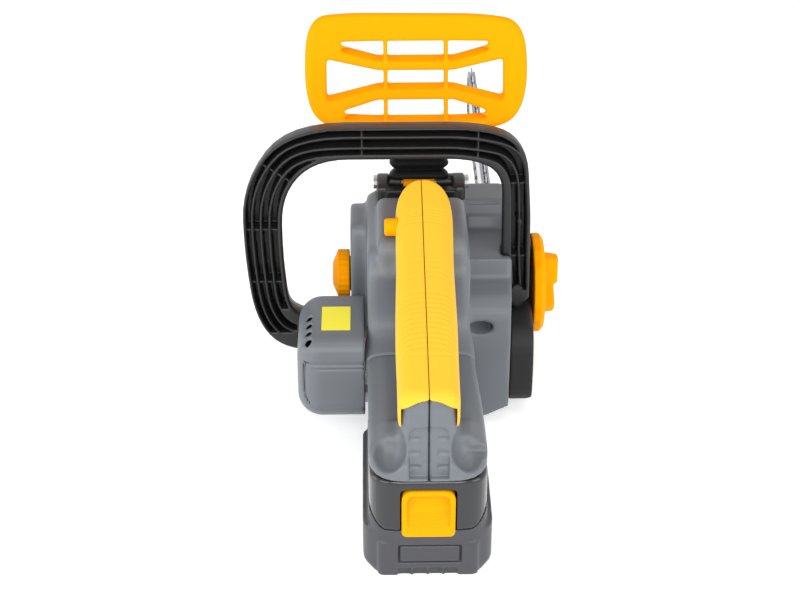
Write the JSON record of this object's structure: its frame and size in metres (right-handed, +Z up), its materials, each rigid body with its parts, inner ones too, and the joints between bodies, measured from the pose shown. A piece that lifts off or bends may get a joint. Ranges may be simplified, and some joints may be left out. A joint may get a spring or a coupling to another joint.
{
  "type": "cordless chainsaw",
  "caption": "Rear-handle cordless chainsaw: two-part moulded body, wrap-round front handle, swinging hand guard, guide bar with chain and slide-on battery pack.",
  "frame": {"origin": "on the plane the saw rests on, on the body's flat underside at the seam, below the front half of the body", "axes": "+X to the guide bar's side, +Y forward along the bar, +Z up"},
  "size_m": [0.2308, 0.6347, 0.2738],
  "materials": {
    "housing_grey": "fine moulded texture",
    "motor_cover_grey": "fine moulded texture",
    "cover_charcoal": "fine moulded texture",
    "grip_yellow": "soft overmoulded grip",
    "guard_orange": "satin moulded",
    "control_orange": "satin moulded",
    "latch_yellow": "satin moulded",
    "handle_black": "matt glass-filled nylon",
    "bellows_rubber": "matt rubber",
    "pack_gloss": "semi-gloss moulded",
    "pack_dark": "matt moulded",
    "cell_wrap": "cells in heat-shrink sleeve",
    "bar_steel": "ground steel",
    "chain_steel": "oiled tool steel",
    "zinc_steel": "zinc-plated",
    "machined_steel": "machined steel",
    "rotor_copper": "copper windings on a steel stack",
    "tank_plastic": "translucent moulded",
    "board_green": "circuit board",
    "lead_red": "insulated wire"
  },
  "bodies": {
    "body": {"housing_left": "housing_grey", "housing_right": "housing_grey", "motor_cover": "motor_cover_grey", "sprocket_cover": "cover_charcoal", "oil_pump": "cover_charcoal", "grip_cover_left": "grip_yellow", "grip_cover_right": "grip_yellow", "front_handle": "handle_black", "guard_bracket": "handle_black", "main_switch": "handle_black", "brake_switch": "handle_black", "battery_terminal_block": "handle_black", "guard_bellows": "bellows_rubber", "oil_cap_seal": "bellows_rubber", "oil_hose": "bellows_rubber", "motor_lead_black": "bellows_rubber", "bumper_spike": "bar_steel", "chain_catcher": "bar_steel", "housing_screw_1": "zinc_steel", "housing_screw_2": "zinc_steel", "housing_screw_3": "zinc_steel", "housing_screw_4": "zinc_steel", "handle_screw_left": "zinc_steel", "handle_screw_right": "zinc_steel", "guard_pivot_pin": "zinc_steel", "trigger_pin": "zinc_steel", "bar_stud": "zinc_steel", "lock_off_spring": "zinc_steel", "trigger_spring": "zinc_steel", "motor_can": "machined_steel", "motor_end_plate": "machined_steel", "shaft_bearing_inner": "machined_steel", "shaft_bearing_outer": "machined_steel", "oil_tank": "tank_plastic", "control_board": "board_green", "motor_lead_red": "lead_red"},
    "bar": {"guide_bar": "bar_steel", "saw_chain": "chain_steel", "bar_adjust_plate": "bar_steel"},
    "nose_wheel": {"nose_sprocket": "bar_steel"},
    "sprocket_set": {"drive_sprocket": "chain_steel", "sprocket_shaft": "machined_steel", "reduction_gear": "machined_steel", "sprocket_clip": "chain_steel"},
    "motor_rotor_set": {"motor_rotor": "rotor_copper", "motor_fan": "handle_black", "motor_pinion": "machined_steel"},
    "tension_wheel": {"tension_ring": "control_orange", "tension_cam": "cover_charcoal"},
    "lock_knob": {"lock_knob": "control_orange"},
    "guard": {"hand_guard": "guard_orange"},
    "cap": {"oil_cap": "control_orange"},
    "trigger": {"trigger": "handle_black"},
    "lock_off": {"lock_off_button": "control_orange"},
    "battery": {"battery_case": "pack_dark", "battery_lid": "pack_gloss", "cell_block": "cell_wrap"},
    "battery_latch": {"battery_latch": "latch_yellow", "battery_latch_spring": "zinc_steel"}
  },
  "joints": [
    {"name": "battery_slide", "type": "slide", "parent": "body", "child": "battery", "axis": [0, -1, 0], "range_m": [0, 0.12]},
    {"name": "battery_latch_press", "type": "slide", "parent": "battery", "child": "battery_latch", "axis": [0, 1, 0], "range_m": [0, 0.003], "stiffness_N_per_m": 900, "springref_m": -0.002, "deforming": ["battery_latch_spring"]},
    {"name": "trigger_pull", "type": "hinge", "parent": "body", "child": "trigger", "pos_m": [0, -0.064, 0.15], "axis": [-1, 0, 0], "range_deg": [0, 12], "stiffness_Nm_per_rad": 0.5, "springref_deg": -5.73, "deforming": ["trigger_spring"]},
    {"name": "lock_off_press", "type": "slide", "parent": "body", "child": "lock_off", "axis": [1, 0, 0], "range_m": [0, 0.004], "stiffness_N_per_m": 300, "springref_m": -0.002, "deforming": ["lock_off_spring"]},
    {"name": "chain_brake_swing", "type": "hinge", "parent": "body", "child": "guard", "pos_m": [0, 0.0375, 0.1584], "axis": [-1, 0, 0], "range_deg": [0, 25], "deforming": ["guard_bellows"]},
    {"name": "oil_cap_turn", "type": "hinge", "parent": "body", "child": "cap", "pos_m": [-0.05, 0.028, 0.088], "axis": [1, 0, 0], "range_deg": [0, 360]},
    {"name": "bar_tension_slide", "type": "slide", "parent": "body", "child": "bar", "axis": [0, -1, 0], "range_m": [0, 0.004]},
    {"name": "tension_ring_turn", "type": "hinge", "parent": "body", "child": "tension_wheel", "pos_m": [0.086, 0.042, 0.071], "axis": [1, 0, 0], "range_deg": [0, 60]},
    {"name": "lock_knob_turn", "type": "hinge", "parent": "body", "child": "lock_knob", "pos_m": [0.09, 0.042, 0.071], "axis": [1, 0, 0], "range_deg": [0, 360]},
    {"name": "sprocket_spin", "type": "hinge", "parent": "body", "child": "sprocket_set", "pos_m": [0.058, -0.01, 0.071], "axis": [1, 0, 0], "continuous": true},
    {"name": "motor_spin", "type": "hinge", "parent": "body", "child": "motor_rotor_set", "pos_m": [-0.04, -0.05337, 0.059], "axis": [1, 0, 0], "continuous": true},
    {"name": "nose_sprocket_spin", "type": "hinge", "parent": "bar", "child": "nose_wheel", "pos_m": [0.058, 0.389, 0.071], "axis": [1, 0, 0], "continuous": true}
  ],
  "couplings": [
    {"joint": "motor_spin", "follows": "sprocket_spin", "ratio": -3},
    {"joint": "tension_ring_turn", "follows": "bar_tension_slide", "rad_per_m": 261.8}
  ]
}
